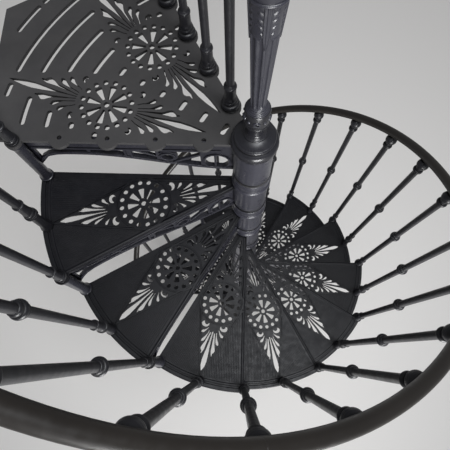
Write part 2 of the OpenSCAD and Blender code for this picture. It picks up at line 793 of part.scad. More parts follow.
module newel_shaft_body() {
    rotate_extrude($fn = 96) polygon(concat(
        [[0, newel_base_height], [newel_shaft_foot, newel_base_height], [newel_shaft_foot, newel_base_height + 10]],
        [[newel_taper_radius, newel_taper_end], [newel_taper_radius + 1.5, newel_taper_end + 2]],
        [[newel_shaft_top, newel_bell_end]],
        ogee_points(newel_shaft_top, newel_shaft_top + 6, newel_bell_end + 9, newel_cup_height - 40),
        ogee_points(newel_shaft_top + 6, newel_neck, newel_cup_height - 36, newel_cup_height),
        bulge_points(newel_neck - 2, 8, newel_cup_height + 2, newel_cup_height + 18),
        [[newel_neck - 2, newel_cup_height + 20], [newel_shaft_foot, newel_shaft_end - 24]],
        bulge_points(newel_shaft_foot, 7, newel_shaft_end - 22, newel_shaft_end - 8),
        [[newel_shaft_foot + 2, newel_shaft_end - 6], [newel_shaft_foot + 2, newel_shaft_end], [0, newel_shaft_end]]
    ));
}

newel_block_radius = 28;
module newel_top() {
    block_foot = rail_height - rail_radius - 14;
    block_top = rail_height + rail_radius + 14;
    neck = newel_neck - 6;
    color("#55545d") translate([0, 0, landing_top]) rotate_extrude($fn = 96) polygon(concat(
        [[0, newel_shaft_end], [newel_shaft_foot + 2, newel_shaft_end]],
        ogee_points(newel_shaft_foot + 2, newel_block_radius - 3, newel_shaft_end + 6, block_foot - 4),
        [[newel_block_radius, block_foot], [newel_block_radius, block_top - 4], [newel_block_radius - 3, block_top]],
        [[neck, block_top + 4]],
        ball_points(newel_ball_radius, newel_height)
    ));
}

// Straight level rail from the newel to the last landing baluster
module landing_rail() {
    length = landing_place(landing_baluster_count);
    color("#1b1b20") translate([0, 0, landing_top + rail_height]) rotate(-landing_angle) difference() {
        translate([0, landing_side_line, 0]) {
            rotate([0, 90, 0]) cylinder(r = rail_radius, h = length, $fn = 48);
            translate([length, 0, 0]) sphere(r = rail_radius + 3, $fn = 48);
        }
        translate([0, 0, -rail_height / 2]) cylinder(r = newel_block_radius + fit_gap, h = rail_height, $fn = 96);
    }
}

// One ring of points of the handrail: at an angle round the stair, moved along the rail and scaled
function rail_ring(angle, along, scale) =
    let (
        outward = [cos(angle), sin(angle), 0],
        forward = [-sin(angle) * cos(rail_slope), cos(angle) * cos(rail_slope), -sin(rail_slope)],
        up = cross(outward, forward),
        centre = [rail_circle * cos(angle), rail_circle * sin(angle), rail_z(angle)] + along * forward
    )
    [for (i = [0 : rail_sides - 1])
        let (turn = 360 * i / rail_sides)
        centre + scale * rail_radius * (cos(turn) * outward + sin(turn) * up)];

// Rings of a domed end, from the widest to the narrowest
cap_turns = [25, 50, 72];
function cap_rings(angle, side) =
    [for (turn = cap_turns) rail_ring(angle, side * rail_radius * sin(turn), cos(turn))];

function reverse(list) = [for (i = [len(list) - 1 : -1 : 0]) list[i]];

// Handrail segment s of rail_segments, swept along the helix, with a domed end where the rail ends
module handrail(s) {
    share = tread_count * tread_angle / rail_segments;
    first = (s - 1) * share - (s == 1 ? rail_overrun : 0);
    last = s * share + (s == rail_segments ? rail_overrun : 0);
    steps = ceil((last - first) / rail_step_angle);
    body = [for (i = [0 : steps]) rail_ring(first + (last - first) * i / steps, 0, 1)];
    rings = concat(
        s == 1 ? reverse(cap_rings(first, -1)) : [],
        body,
        s == rail_segments ? cap_rings(last, 1) : []
    );
    points = [for (ring = rings, p = ring) p];
    count = len(rings);
    sides = [for (j = [0 : count - 2], i = [0 : rail_sides - 1])
        let (a = j * rail_sides + i, b = j * rail_sides + (i + 1) % rail_sides)
        each [[a, b, b + rail_sides], [a, b + rail_sides, a + rail_sides]]];
    ends = [[for (i = [rail_sides - 1 : -1 : 0]) i], [for (i = [0 : rail_sides - 1]) (count - 1) * rail_sides + i]];
    color("#1b1b20") polyhedron(points, concat(sides, ends));
}

base_flange();
column_pipe();
for (k = [1 : tread_count]) {
    tread(k);
    riser(k);
}
landing();
riser(0);  // landing_riser
newel_base();
newel_shaft();
newel_top();
for (g = [1 : baluster_groups]) balusters(g);
landing_balusters();
landing_rail();
for (s = [1 : rail_segments]) handrail(s);
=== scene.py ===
"""Looks of the cast-iron spiral staircase.

Satin black paint on every casting, ribbed treads, turned hub feet, a smooth handrail, a fluted newel, studs and bolts.
"""

import math
from math import cos, pi, radians, sin

import bmesh
import bpy
from mathutils import Euler, Matrix, Vector


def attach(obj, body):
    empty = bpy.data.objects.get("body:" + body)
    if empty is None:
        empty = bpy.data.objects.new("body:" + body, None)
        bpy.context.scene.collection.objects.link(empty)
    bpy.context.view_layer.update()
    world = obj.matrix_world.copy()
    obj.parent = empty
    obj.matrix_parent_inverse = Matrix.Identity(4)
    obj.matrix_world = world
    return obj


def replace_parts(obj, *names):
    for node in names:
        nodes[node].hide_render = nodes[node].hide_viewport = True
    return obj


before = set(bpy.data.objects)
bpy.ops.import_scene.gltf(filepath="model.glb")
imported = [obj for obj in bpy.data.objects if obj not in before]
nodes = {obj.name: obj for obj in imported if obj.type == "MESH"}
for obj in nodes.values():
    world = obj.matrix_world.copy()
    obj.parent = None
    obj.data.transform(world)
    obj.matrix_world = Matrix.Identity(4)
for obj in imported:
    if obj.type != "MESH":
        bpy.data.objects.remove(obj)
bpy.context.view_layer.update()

# Sizes of the stair, as the CAD model has them, in metres
RISE = 0.210
TREADS = 12
TREAD_ANGLE = radians(30)
LANDING_ANGLE = 2 * TREAD_ANGLE
LANDING_TOP = (TREADS + 1) * RISE
BALUSTER_RADIUS = 0.560
HUB_RADIUS = 0.048
BORE_RADIUS = 0.0303
RIM_INNER = 0.546
PLATE_TOP = -0.0025
PLATE_BOTTOM = -0.0095
PATTERN_TURN = radians(-0.6)
KITE_TIP = RIM_INNER + 0.003
KITE_WAIST = ((HUB_RADIUS + RIM_INNER) / 2 + 0.004, 0.0763)
KITE_FOOT = (HUB_RADIUS - 0.001, 0.013)
LUG_RADIUS = 0.017
FLANGE_TOP = 0.016
FLANGE_BOLT_CIRCLE = 0.115
LANDING_FIRST = 0.116
LANDING_PITCH = 0.112
LANDING_BALUSTERS = 5


def tread_top(k):
    return LANDING_TOP - k * RISE


# Materials

# Painted shade in crevices: its reach, the shares of open air at which the painted shade is darkest and gone, and its
# tone and gloss
PAINTED_SHADE_REACH = 0.010
PAINTED_SHADE_OPEN = (0.35, 0.85)
PAINTED_SHADE_TONE = 0.25
PAINTED_SHADE_GLOSS = 0.08
RUBBED_EDGE = 0.0015
# The darkest drift of the paint, as a share of its tone
DEEP_TONE = 0.72
DUST = (0.11, 0.105, 0.098)
GRAIN_SCALE = 420


def link(tree, a, b):
    tree.links.new(a, b)


def iron(name, dark, worn, rough, gloss=0.42, dust=0.25, grain=0.00012, wear=0.55):
    """Satin black paint on cast iron: drifting tone, cast grain, rubbed edges, painted shade and dulled gloss in
    crevices, dust on what faces up.
    """
    m = bpy.data.materials.new(name)
    m.use_nodes = True
    t = m.node_tree
    t.nodes.clear()
    out = t.nodes.new("ShaderNodeOutputMaterial")
    shader = t.nodes.new("ShaderNodeBsdfPrincipled")
    link(t, shader.outputs["BSDF"], out.inputs["Surface"])
    coord = t.nodes.new("ShaderNodeTexCoord")

    def noise(scale, detail, roughness=0.55):
        n = t.nodes.new("ShaderNodeTexNoise")
        n.inputs["Scale"].default_value = scale
        n.inputs["Detail"].default_value = detail
        n.inputs["Roughness"].default_value = roughness
        link(t, coord.outputs["Object"], n.inputs["Vector"])
        return n.outputs["Fac"]

    def ramp(source, low, high, from_value=0.0, to_value=1.0):
        r = t.nodes.new("ShaderNodeMapRange")
        r.inputs["From Min"].default_value = low
        r.inputs["From Max"].default_value = high
        r.inputs["To Min"].default_value = from_value
        r.inputs["To Max"].default_value = to_value
        link(t, source, r.inputs["Value"])
        return r.outputs["Result"]

    def times(a, b):
        n = t.nodes.new("ShaderNodeMath")
        n.operation = "MULTIPLY"
        link(t, a, n.inputs[0])
        if isinstance(b, float):
            n.inputs[1].default_value = b
        else:
            link(t, b, n.inputs[1])
        return n.outputs[0]

    def mix(a, b, factor):
        n = t.nodes.new("ShaderNodeMix")
        n.data_type = "RGBA"
        link(t, factor, n.inputs["Factor"])
        for socket, value in ((n.inputs["A"], a), (n.inputs["B"], b)):
            if isinstance(value, tuple):
                socket.default_value = (*value, 1)
            else:
                link(t, value, socket)
        return n.outputs["Result"]

    # rubbed edges: where a rounded normal leaves the true one
    bevel = t.nodes.new("ShaderNodeBevel")
    bevel.samples = 4
    bevel.inputs["Radius"].default_value = RUBBED_EDGE
    geometry = t.nodes.new("ShaderNodeNewGeometry")
    dot = t.nodes.new("ShaderNodeVectorMath")
    dot.operation = "DOT_PRODUCT"
    link(t, bevel.outputs["Normal"], dot.inputs[0])
    link(t, geometry.outputs["Normal"], dot.inputs[1])
    edge = ramp(dot.outputs["Value"], 0.995, 0.75)
    patches = ramp(noise(23, 4), 0.42, 0.66)
    rubbed = times(times(edge, patches), wear)

    # dust lies on what faces up
    split = t.nodes.new("ShaderNodeSeparateXYZ")
    link(t, geometry.outputs["Normal"], split.inputs["Vector"])
    lying = ramp(split.outputs["Z"], 0.75, 1.0)
    dusty = times(times(lying, ramp(noise(9, 6, 0.7), 0.35, 0.75)), dust)

    drift = ramp(noise(5, 3), 0.3, 0.7)
    deep = tuple(c * DEEP_TONE for c in dark)
    paint = mix(deep, dark, drift)
    paint = mix(paint, DUST, dusty)
    paint = mix(paint, worn, rubbed)
    # painted shade: crevices are darkened and their gloss dulled, by ambient occlusion
    painted_shade_ao = t.nodes.new("ShaderNodeAmbientOcclusion")
    painted_shade_ao.samples = 8
    painted_shade_ao.inputs["Distance"].default_value = PAINTED_SHADE_REACH
    open_share = ramp(painted_shade_ao.outputs["AO"], *PAINTED_SHADE_OPEN)
    link(t, mix(tuple(c * PAINTED_SHADE_TONE for c in dark), paint, open_share), shader.inputs["Base Color"])
    link(t, ramp(painted_shade_ao.outputs["AO"], *PAINTED_SHADE_OPEN, PAINTED_SHADE_GLOSS, gloss), shader.inputs["Specular IOR Level"])

    rough_drift = ramp(noise(60, 5), 0.3, 0.7, rough - 0.07, rough + 0.08)
    link(t, rough_drift, shader.inputs["Roughness"])

    bump = t.nodes.new("ShaderNodeBump")
    bump.inputs["Strength"].default_value = 0.6
    bump.inputs["Distance"].default_value = grain
    link(t, noise(GRAIN_SCALE, 3), bump.inputs["Height"])
    link(t, bevel.outputs["Normal"], bump.inputs["Normal"])
    link(t, bump.outputs["Normal"], shader.inputs["Normal"])
    return m


MATERIALS = {
    "tread_iron": iron(
        "tread_black", (0.0062, 0.0063, 0.0086), (0.055, 0.055, 0.065), 0.42, gloss=0.22, dust=0.05),
    # the risers' paint is lighter than the treads' black: partly painted light, for the riser faces that catch the
    # light
    "riser_iron": iron(
        "riser_black_and_painted_light", (0.0240, 0.0240, 0.0320), (0.14, 0.14, 0.18), 0.30, gloss=0.5, dust=0.08),
    "landing_iron": iron(
        "landing_charcoal", (0.0480, 0.0465, 0.0475), (0.08, 0.08, 0.082), 0.58, gloss=0.25, dust=0.2),
    "newel_iron": iron(
        "newel_blue_black", (0.0330, 0.0330, 0.0450), (0.18, 0.18, 0.21), 0.32, gloss=0.6, dust=0.04, grain=0.00003),
    # a darker copy of the newel's paint for its foot: painted shade in its dish and under its rim
    "newel_foot": iron(
        "newel_foot_painted_shade", (0.0140, 0.0140, 0.0180), (0.12, 0.12, 0.14), 0.30, gloss=0.5, dust=0.0, grain=0.00003),
    "baluster_iron": iron(
        "baluster_black", (0.0135, 0.0135, 0.0165), (0.05, 0.05, 0.055), 0.38, gloss=0.36, dust=0.12),
    "rail_steel": iron(
        "rail_black", (0.0145, 0.0120, 0.0100), (0.05, 0.047, 0.045), 0.38, dust=0.08, grain=0.00004),
    "pipe_steel": iron(
        "pipe_grey", (0.02, 0.02, 0.022), (0.06, 0.06, 0.062), 0.40, grain=0.00004),
    "flange_iron": iron(
        "flange_black", (0.0085, 0.0085, 0.0100), (0.05, 0.05, 0.055), 0.42, dust=0.5),
}


def slot_of(name):
    for start, slot in (
        ("tread", "tread_iron"), ("riser", "riser_iron"), ("landing_riser", "riser_iron"),
        ("landing_balusters", "baluster_iron"), ("landing_rail", "rail_steel"), ("landing", "landing_iron"),
        ("newel", "newel_iron"), ("balusters", "baluster_iron"), ("handrail", "rail_steel"),
        ("column_pipe", "pipe_steel"), ("base_flange", "flange_iron"),
    ):
        if name.startswith(start):
            return slot
    raise ValueError(name)


def paint(obj, slot):
    obj.data.materials.clear()
    obj.data.materials.append(MATERIALS[slot])


for name, obj in nodes.items():
    paint(obj, slot_of(name))


# Pieces that the castings carry


def piece(name, bm, slot, smooth_angle=40):
    """A new mesh object in place, riding on the stair."""
    mesh = bpy.data.meshes.new(name)
    bmesh.ops.recalc_face_normals(bm, faces=bm.faces)
    bm.to_mesh(mesh)
    bm.free()
    mesh.shade_smooth()
    mesh.set_sharp_from_angle(angle=radians(smooth_angle))
    obj = bpy.data.objects.new(name, mesh)
    bpy.context.scene.collection.objects.link(obj)
    paint(obj, slot)
    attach(obj, "root")
    return obj


def ring_of(bm, points):
    return [bm.verts.new(p) for p in points]


def skin(bm, rings, closed=True, caps=True):
    """Faces between rings of equal length, with the two ends closed."""
    count = len(rings[0])
    for a, b in zip(rings, rings[1:]):
        for i in range(count if closed else count - 1):
            j = (i + 1) % count
            bm.faces.new((a[i], a[j], b[j], b[i]))
    if caps:
        bm.faces.new(rings[0][::-1])
        bm.faces.new(rings[-1])


def turned(bm, profile, place, sides=24):
    """A turned form: profile of (radius, height), put in place by a matrix."""
    turns = [2 * pi * i / sides for i in range(sides)]
    rings = [ring_of(bm, [place @ Vector((r * cos(a), r * sin(a), h)) for a in turns]) for r, h in profile]
    skin(bm, rings)


def bulge(radius, swell, low, high, steps=8):
    """Profile of a round moulding, going up."""
    turns = [pi * i / steps for i in range(steps + 1)]
    return [(radius + swell * sin(a), low + (high - low) * (1 - cos(a)) / 2) for a in turns]


def ogee(low_radius, high_radius, low, high, steps=8):
    """Profile of a smooth change of radius, going up."""
    change = high_radius - low_radius
    return [
        (low_radius + change * (1 - cos(pi * i / steps)) / 2, low + (high - low) * i / steps)
        for i in range(steps + 1)
    ]


# Foot of every hub: a flared ring, a band with a fine line, and a groove under the plain body
FOOT_CUT = 0.100
# reach of the hub's painted light: the lighter newel paint on its upright faces
HUB_PAINTED_LIGHT_REACH = HUB_RADIUS + 0.006
HUB_WALL = (0.040, 0.060)
BORE_WALL = (0.020, 0.040)
FLARE = bulge(0.0485, 0.0040, 0, 0.020)
BAND = [(0.0478, 0.0215), (0.0492, 0.0230), (0.0492, 0.0500)] + bulge(0.0484, 0.0012, 0.0515, 0.0600, 4)
GROOVE = [(0.0410, 0.0605), (0.0410, 0.0735), (0.0472, 0.0740), (0.0480, 0.0750)]
HUB_FOOT = FLARE + BAND + GROOVE


def paint_hub_painted_light(obj):
    """The hub's upright outer faces take the newel's lighter paint, as a second material slot: painted light on the
    hub, which has the same paint as its tread.
    """
    obj.data.materials.append(MATERIALS["newel_iron"])
    for face in obj.data.polygons:
        near = face.center.xy.length < HUB_PAINTED_LIGHT_REACH
        upright = abs(face.normal.z) < 0.95
        if near and upright and face.normal.xy.dot(face.center.xy) > 0:
            face.material_index = 1


def loop_at(bm, height, inner, outer):
    """Vertices of a cut at a height, between two radii, in order round the column."""
    found = [v for v in bm.verts if abs(v.co.z - height) < 1e-6 and inner < v.co.xy.length < outer]
    return sorted(found, key=lambda v: math.atan2(v.co.y, v.co.x))


def drop(bm, loop, profile, foot):
    """New rings under a loop of vertices, one for each (radius, height)."""
    rings = [loop]
    for radius, height in profile:
        rings.append(ring_of(bm, [(*(v.co.xy.normalized() * radius), foot + height) for v in loop]))
    skin(bm, rings, caps=False)
    return rings[-1]


def casting(name, foot):
    """A casting as the CAD has it, with the foot of its hub turned anew."""
    bm = bmesh.new()
    bm.from_mesh(nodes[name].data)
    cut = foot + FOOT_CUT
    everything = bm.verts[:] + bm.edges[:] + bm.faces[:]
    bmesh.ops.bisect_plane(bm, geom=everything, plane_co=(0, 0, cut), plane_no=(0, 0, -1), clear_outer=True)
    outside = drop(bm, loop_at(bm, cut, *HUB_WALL), HUB_FOOT[::-1], foot)
    inside = drop(bm, loop_at(bm, cut, *BORE_WALL), [(BORE_RADIUS, 0)], foot)
    edges = [bm.edges.get((a, b)) for loop in (outside, inside) for a, b in zip(loop, loop[1:] + loop[:1])]
    bmesh.ops.bridge_loops(bm, edges=edges)
    obj = piece(f"{name}_casting", bm, slot_of(name))
    paint_hub_painted_light(obj)
    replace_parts(obj, name)


casting("landing", tread_top(1))
for k in range(1, TREADS + 1):
    casting(f"tread_{k:02d}", FLANGE_TOP if k == TREADS else tread_top(k + 1))


# Fine ribs of the treads: they run along the straight edges and stop at the double lines of the kite
RIB_PITCH = 0.0055
RIB_WIDTH = 0.0022
RIB_HEIGHT = 0.0006
RIB_MARGIN = 0.0045
RIB_ROOT = 0.0005
RIB_CREST = 0.4
RIB_SHORTEST = 0.006
FRONT_START = 0.019
BACK_START = 0.005


def rib(bm, a, b, base):
    along = (b - a).normalized()
    across = Vector((-along.y, along.x, 0)) * RIB_WIDTH / 2
    crest = across * RIB_CREST
    low, high = Vector((0, 0, base - RIB_ROOT)), Vector((0, 0, base + RIB_HEIGHT))
    section = [low - across, high - crest, high + crest, low + across]
    skin(bm, [ring_of(bm, [p + q for q in section]) for p in (a, b)])


def kite_line(x):
    """Half width of the kite at distance x from the column."""
    (wx, wy), (fx, fy) = KITE_WAIST, KITE_FOOT
    if x > wx:
        return wy * max(0, KITE_TIP - x) / (KITE_TIP - wx)
    return fy + (wy - fy) * (x - fx) / (wx - fx)


def on_plate(p, side):
    """True where a tread's plate is flat and whole on one side of the kite; the tread's middle line lies along +X."""
    r = p.length
    if not HUB_RADIUS + 0.008 < r < RIM_INNER - 0.003:
        return False
    for a in (-TREAD_ANGLE / 2, 0, TREAD_ANGLE / 2):
        if (p - BALUSTER_RADIUS * Vector((cos(a), sin(a), 0))).length < LUG_RADIUS + 0.003:
            return False
    x = p.x * cos(PATTERN_TURN) + p.y * sin(PATTERN_TURN)
    y = p.y * cos(PATTERN_TURN) - p.x * sin(PATTERN_TURN)
    return side * y > kite_line(x) + RIB_MARGIN


def runs(a, b, side, step=0.001):
    """The parts of a line that lie on flat plate."""
    count = int((b - a).length / step)
    start = None
    for i in range(count + 1):
        p = a.lerp(b, i / count)
        if on_plate(p, side):
            start = start or p
            last = p
        elif start:
            if (last - start).length > RIB_SHORTEST:
                yield start, last
            start = None


def tread_ribs(k):
    bm = bmesh.new()
    turn = Matrix.Rotation((k - 0.5) * TREAD_ANGLE, 4, "Z")
    for side, first in ((1, FRONT_START), (-1, BACK_START)):
        edge = Vector((cos(TREAD_ANGLE / 2), side * sin(TREAD_ANGLE / 2), 0))
        inward = Vector((sin(TREAD_ANGLE / 2), -side * cos(TREAD_ANGLE / 2), 0))
        distance = first
        while distance < RIM_INNER * sin(TREAD_ANGLE / 2):
            for a, b in runs(inward * distance, inward * distance + edge * BALUSTER_RADIUS, side):
                rib(bm, turn @ a, turn @ b, tread_top(k) + PLATE_TOP)
            distance += RIB_PITCH
    return piece(f"tread_ribs_{k:02d}", bm, "tread_iron")


for k in range(1, TREADS + 1):
    tread_ribs(k)


# Nuts under the balusters that stand on lugs, and the bolts of the base flange

NUT_FLATS, NUT_HEIGHT, NUT_SEAT = 0.016, 0.008, 0.0018
NUT_WASHER = [(0.0105, -0.0005), (0.0110, 0.0004), (0.0110, 0.0016), (0.0100, 0.0020)]
NUT_STUD = [(0.0048, 0.006), (0.0048, 0.0125), (0.0040, 0.0135)]
BOLTS = 6
BOLT_FLATS, BOLT_HEIGHT, BOLT_SEAT = 0.019, 0.0085, 0.0023
BOLT_WASHER = [(0.0125, -0.0003), (0.0130, 0.0005), (0.0130, 0.0020), (0.0120, 0.0025)]
BOLT_TURN = 0.37


def hexagon(bm, place, flats, height):
    r = flats / math.sqrt(3)
    edge = height * 0.12
    turned(bm, [(r * 0.9, 0), (r, edge), (r, height - edge), (r * 0.9, height)], place, 6)


def lug_nut(bm, x, y, z):
    """Washer, nut and the end of its stud, hanging under a plate."""
    down = Matrix.Translation((x, y, z)) @ Matrix.Rotation(pi, 4, "X")
    turned(bm, NUT_WASHER, down)
    hexagon(bm, down @ Matrix.Translation((0, 0, NUT_SEAT)), NUT_FLATS, NUT_HEIGHT)
    turned(bm, NUT_STUD, down)


nuts = bmesh.new()
for k in range(1, TREADS + 1):
    a = (k - 0.5) * TREAD_ANGLE
    lug_nut(nuts, BALUSTER_RADIUS * cos(a), BALUSTER_RADIUS * sin(a), tread_top(k) + PLATE_BOTTOM)
for i in range(LANDING_BALUSTERS):
    x = LANDING_FIRST + i * LANDING_PITCH
    lug_nut(nuts, x * cos(LANDING_ANGLE), -x * sin(LANDING_ANGLE), LANDING_TOP + PLATE_BOTTOM)
piece("baluster_nuts", nuts, "flange_iron", 30)

bolts = bmesh.new()
for i in range(BOLTS):
    a = 2 * pi * i / BOLTS
    place = Matrix.Translation((FLANGE_BOLT_CIRCLE * cos(a), FLANGE_BOLT_CIRCLE * sin(a), FLANGE_TOP))
    turned(bolts, BOLT_WASHER, place)
    seat = place @ Matrix.Translation((0, 0, BOLT_SEAT)) @ Matrix.Rotation(BOLT_TURN * i, 4, "Z")
    hexagon(bolts, seat, BOLT_FLATS, BOLT_HEIGHT)
piece("flange_bolts", bolts, "flange_iron", 30)


# Handrail: the CAD's helix, swept again with enough sides to be smooth

RAIL_RADIUS = 0.0145
RAIL_CIRCLE = BALUSTER_RADIUS + 0.017
RAIL_HEIGHT = 0.985
RAIL_LENGTHS = 4
RAIL_OVERRUN = radians(4)
RAIL_STEP = radians(2)
RAIL_SIDES = 32
RAIL_SLOPE = math.atan(RISE / (RAIL_CIRCLE * TREAD_ANGLE))
CAP_TURNS = [radians(a) for a in (15, 30, 45, 60, 72, 82)]


def rail_z(angle):
    return LANDING_TOP + RAIL_HEIGHT - RISE * angle / TREAD_ANGLE


def rail_ring(bm, angle, along=0, scale=1):
    """One ring of the sweep, square to the helix."""
    outward = Vector((cos(angle), sin(angle), 0))
    forward = Vector((-sin(angle) * cos(RAIL_SLOPE), cos(angle) * cos(RAIL_SLOPE), -sin(RAIL_SLOPE)))
    up = outward.cross(forward)
    centre = outward * RAIL_CIRCLE + Vector((0, 0, rail_z(angle))) + forward * along
    turns = [2 * pi * i / RAIL_SIDES for i in range(RAIL_SIDES)]
    return ring_of(bm, [centre + (outward * cos(t) + up * sin(t)) * RAIL_RADIUS * scale for t in turns])


def rail_cap(bm, angle, side):
    """Rings of a domed end, from the widest to the narrowest."""
    return [rail_ring(bm, angle, side * RAIL_RADIUS * sin(t), cos(t)) for t in CAP_TURNS]


def handrail(s):
    """One quarter turn of the rail; the first and the last run on a little and end in a dome."""
    share = TREADS * TREAD_ANGLE / RAIL_LENGTHS
    first = (s - 1) * share - (RAIL_OVERRUN if s == 1 else 0)
    last = s * share + (RAIL_OVERRUN if s == RAIL_LENGTHS else 0)
    steps = math.ceil((last - first) / RAIL_STEP)
    bm = bmesh.new()
    rings = [rail_ring(bm, first + (last - first) * i / steps) for i in range(steps + 1)]
    if s == 1:
        rings = rail_cap(bm, first, -1)[::-1] + rings
    if s == RAIL_LENGTHS:
        rings += rail_cap(bm, last, 1)
    skin(bm, rings)
    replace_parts(piece(f"handrail_{s:02d}_smooth", bm, "rail_steel"), f"handrail_{s:02d}")


for s in range(1, RAIL_LENGTHS + 1):
    handrail(s)


# Newel, in heights above the landing: its turned foot, its collar with studs, and its fluted shaft with leaves

FOOT_RADIUS = 0.0555
FOOT_SEAT = 0.0455
RIM_SWELL = 0.0080
RIM_LOW, RIM_HIGH = 0.0085, 0.0400
LIP_RADIUS, LIP_SWELL = 0.0430, 0.0045
LIP_LOW, LIP_HIGH = 0.0435, 0.0540
DISH = [(0.0425, 0.0545), (0.0275, 0.0650)]
BEAD_RADIUS, BEAD_SWELL = 0.0250, 0.0018
BEAD_LOW, BEAD_HIGH = 0.0655, 0.0705
WAIST_LOW, WAIST_HIGH = 0.0715, 0.0800
WAIST_RADIUS = 0.0195
COLLAR_RADIUS = 0.0265
COLLAR_LOW = 0.118
COLLAR_TOP = 0.168


def lathe(profile, sides=144):
    bm = bmesh.new()
    turned(bm, profile, Matrix.Translation((0, 0, LANDING_TOP)), sides)
    return bm


newel_foot = (
    [(0.010, 0), (FOOT_SEAT, 0), (FOOT_SEAT, 0.0080)]
    + bulge(FOOT_RADIUS - RIM_SWELL, RIM_SWELL, RIM_LOW, RIM_HIGH)
    + bulge(LIP_RADIUS, LIP_SWELL, LIP_LOW, LIP_HIGH)
    + DISH
    + bulge(BEAD_RADIUS, BEAD_SWELL, BEAD_LOW, BEAD_HIGH)
    + ogee(WAIST_RADIUS + 0.004, WAIST_RADIUS, WAIST_LOW, WAIST_HIGH)
    + ogee(WAIST_RADIUS, COLLAR_RADIUS - 0.002, COLLAR_LOW - 0.012, COLLAR_LOW - 0.001)
    + bulge(COLLAR_RADIUS - 0.001, 0.0025, COLLAR_LOW, COLLAR_LOW + 0.006)
    + [(COLLAR_RADIUS, COLLAR_LOW + 0.007), (COLLAR_RADIUS, COLLAR_TOP - 0.002)]
    + [(COLLAR_RADIUS - 0.001, COLLAR_TOP), (0.015, COLLAR_TOP)]
)
newel_base = piece("newel_base_turned", lathe(newel_foot), "newel_iron")
# the foot takes the darker copy of the newel's paint: painted shade
newel_base.data.materials[0] = MATERIALS["newel_foot"]
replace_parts(newel_base, "newel_base")

STUDS = 10
STUD_TURN = radians(88)
STUD_HEIGHT = 0.146
STUD_SIDES = 20
BALL = [(0.0036, -0.0015), (0.0036, 0.0006), (0.0031, 0.0020), (0.0018, 0.0031), (0.0003, 0.0034)]
BOSS = [(0.0078, -0.0020), (0.0078, 0.0006), (0.0068, 0.0026), (0.0056, 0.0029),
        (0.0044, 0.0018), (0.0040, 0.0002), (0.0004, 0.0001)]
# a black disc in the hole of each boss: painted shade in the hole
BOSS_HOLE_SHADE_DISC = [(0.0040, -0.0010), (0.0041, 0.0005), (0.0038, 0.0007), (0.0004, 0.0006)]

studs = bmesh.new()
stud_hole_shade_discs = bmesh.new()
for i in range(STUDS):
    a = STUD_TURN + 2 * pi * i / STUDS
    place = (Matrix.Rotation(a, 4, "Z") @ Matrix.Translation((COLLAR_RADIUS, 0, LANDING_TOP + STUD_HEIGHT))
             @ Matrix.Rotation(pi / 2, 4, "Y"))
    turned(studs, BALL if i % 2 else BOSS, place, STUD_SIDES)
    if i % 2 == 0:
        turned(stud_hole_shade_discs, BOSS_HOLE_SHADE_DISC, place, STUD_SIDES)
piece("newel_studs", studs, "newel_iron", 50)
# black discs in the boss holes: painted shade
piece("newel_stud_hole_shade_discs", stud_hole_shade_discs, "flange_iron", 50)

FLUTES = 10
FLUTE_DEPTH = 0.0030
FLUTE_LOW, FLUTE_HIGH = 0.184, 0.396
FLUTE_SHARE = 0.36
FLUTE_END = 0.006
STEPS = 4
STEP_FOOT, STEP_TOP = 0.166, 0.182
STEP_RADIUS = 0.0240
SHAFT_FOOT, SHAFT_TOP = 0.0155, 0.0230
SHAFT_END = 0.372
SHAFT_SPANS = 45
BELL_LOW, BELL_HIGH = 0.374, 0.468
BELL_RADIUS, BELL_FLARE, BELL_QUICK = 0.0245, 0.0045, 1.22
BELL_SPANS = 90
CUP_RING = 0.470
NEWEL_SIDES = 240

LEAVES = 4
LEAF_TURN = radians(92)
LEAF_HALF = 0.0205
LEAF_LOBES = 5
LOBES_END = 0.80
TONGUE_HALF = 0.0068
LEAF_GROUND = -0.0026
TONGUE_SINK = 0.0010
RIDGE = 0.0011
CURL = 0.0022


def shaft_radius(height):
    return SHAFT_FOOT + (SHAFT_TOP - SHAFT_FOOT) * (height - STEP_TOP) / (SHAFT_END - STEP_TOP)


def bell_radius(height):
    return BELL_RADIUS + BELL_FLARE * min(1, BELL_QUICK * (height - BELL_LOW) / (BELL_HIGH - BELL_LOW))


def newel_outline():
    """(height, radius) of the shaft, going up, close enough for its flutes and leaves."""
    points = []
    width = (STEP_RADIUS - SHAFT_FOOT) / STEPS
    rise = (STEP_TOP - STEP_FOOT) / STEPS
    for i in range(STEPS):
        radius = SHAFT_FOOT + (STEPS - i) * width
        points += [(STEP_FOOT + i * rise, radius), (STEP_FOOT + (i + 0.8) * rise, radius)]
        points.append((STEP_FOOT + (i + 1) * rise, radius - width * 0.25))
    for i in range(SHAFT_SPANS + 1):
        height = STEP_TOP + 0.0005 + (SHAFT_END - STEP_TOP - 0.0005) * i / SHAFT_SPANS
        points.append((height, shaft_radius(height)))
    for i in range(BELL_SPANS + 1):
        height = BELL_LOW + (BELL_HIGH - BELL_LOW) * i / BELL_SPANS
        points.append((height, bell_radius(height)))
    points += [(h, r) for r, h in bulge(0.0295, 0.0026, CUP_RING - 0.0015, CUP_RING + 0.0045)]
    points += [(h, r) for r, h in ogee(0.0300, 0.0350, 0.4760, 0.5200)]
    points += [(h, r) for r, h in ogee(0.0350, 0.0215, 0.5240, 0.5600)]
    points += [(h, r) for r, h in bulge(0.0195, 0.0080, 0.5620, 0.5780)]
    points += [(0.5800, 0.0195), (0.8560, 0.0155)]
    points += [(h, r) for r, h in bulge(0.0155, 0.0070, 0.8580, 0.8720)]
    return points + [(0.8740, 0.0175), (0.8800, 0.0175)]


def hump(x, centre, width):
    return math.exp(-((x - centre) / width) ** 2)


def between(low, high, x):
    """0 below low, 1 above high, smooth between."""
    t = min(1, max(0, (x - low) / (high - low)))
    return t * t * (3 - 2 * t)


